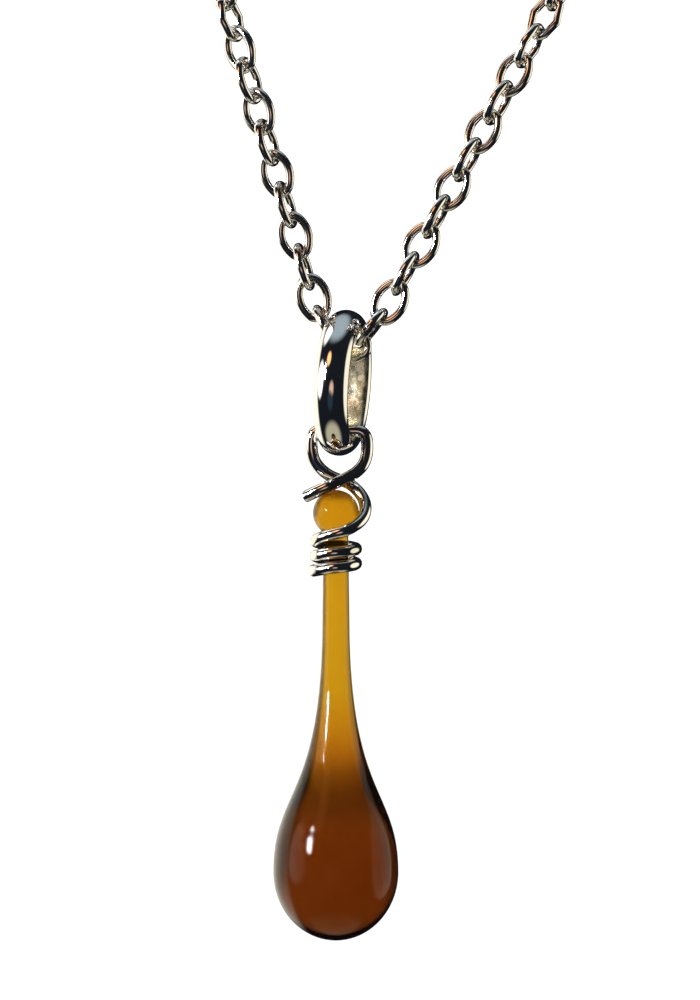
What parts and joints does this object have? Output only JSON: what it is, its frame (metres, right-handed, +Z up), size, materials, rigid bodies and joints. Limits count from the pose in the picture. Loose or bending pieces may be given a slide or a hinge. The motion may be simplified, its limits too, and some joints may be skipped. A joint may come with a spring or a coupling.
{
  "type": "glass drop pendant necklace",
  "caption": "Silver cable-chain necklace: a long teardrop of amber glass cased in clear hangs by a wrapped wire loop from a half-round ring bail.",
  "frame": {"origin": "centre of the loop that goes round the neck", "axes": "+Z up along the wearer's neck; -Y the way the wearer faces, the pendant's front; +X to the right of someone looking at the pendant"},
  "size_m": [0.102, 0.093, 0.1726],
  "materials": {
    "chain_silver": "polished silver wire",
    "bail_silver": "high polish silver",
    "wrap_silver": "polished silver wire, faint drawing marks",
    "clasp_silver": "polished cast silver",
    "spring_steel": "plain steel wire",
    "amber_glass": "transparent amber glass, brown where it is thick",
    "clear_glass": "fire-polished clear glass"
  },
  "bodies": {
    "neck_chain": {"left_neck_chain": "chain_silver", "right_neck_chain": "chain_silver", "clasp_body": "clasp_silver", "clasp_pin": "clasp_silver", "clasp_spring": "spring_steel", "clasp_ring": "clasp_silver", "end_ring": "clasp_silver"},
    "trigger": {"clasp_trigger": "clasp_silver"},
    "front_chain": {"left_link_02": "chain_silver", "left_link_03": "chain_silver", "left_link_04": "chain_silver", "left_link_05": "chain_silver", "left_link_06": "chain_silver", "left_link_07": "chain_silver", "left_link_08": "chain_silver", "left_link_09": "chain_silver", "left_link_10": "chain_silver", "right_link_02": "chain_silver", "right_link_03": "chain_silver", "right_link_04": "chain_silver", "right_link_05": "chain_silver", "right_link_06": "chain_silver", "right_link_07": "chain_silver", "right_link_08": "chain_silver", "right_link_09": "chain_silver", "right_link_10": "chain_silver", "left_leg_chain": "chain_silver", "right_leg_chain": "chain_silver"},
    "cradle": {"bail_link": "chain_silver", "left_link_01": "chain_silver", "right_link_01": "chain_silver"},
    "bail": {"bail_ring": "bail_silver"},
    "pendant": {"wrap_wire": "wrap_silver", "glass_core": "amber_glass", "glass_casing": "clear_glass"}
  },
  "joints": [
    {"name": "drape_swing", "type": "hinge", "parent": "neck_chain", "child": "front_chain", "pos_m": [-0.03765, -0.04, -0.02829], "axis": [1, 0, 0.0003], "range_deg": [-45, 35]},
    {"name": "cradle_swing", "type": "hinge", "parent": "front_chain", "child": "cradle", "pos_m": [-0.01246, -0.03969, -0.11279], "axis": [0.9819, -0.182, -0.0521], "range_deg": [-30, 18]},
    {"name": "bail_swing", "type": "hinge", "parent": "cradle", "child": "bail", "pos_m": [-0.01084, -0.03999, -0.1138], "axis": [0.9833, -0.1822, 0], "range_deg": [-7, 7]},
    {"name": "pendant_swing", "type": "hinge", "parent": "bail", "child": "pendant", "pos_m": [-0.01131, -0.0399, -0.12018], "axis": [1, 0, 0], "range_deg": [-45, 45]},
    {"name": "trigger_press", "type": "hinge", "parent": "neck_chain", "child": "trigger", "pos_m": [0.0003, 0.04639, 0.01754], "axis": [0, -0.9397, -0.342], "range_deg": [0, 26], "stiffness_Nm_per_rad": 0.001, "springref_deg": -17.19, "deforming": ["clasp_spring"]}
  ]
}
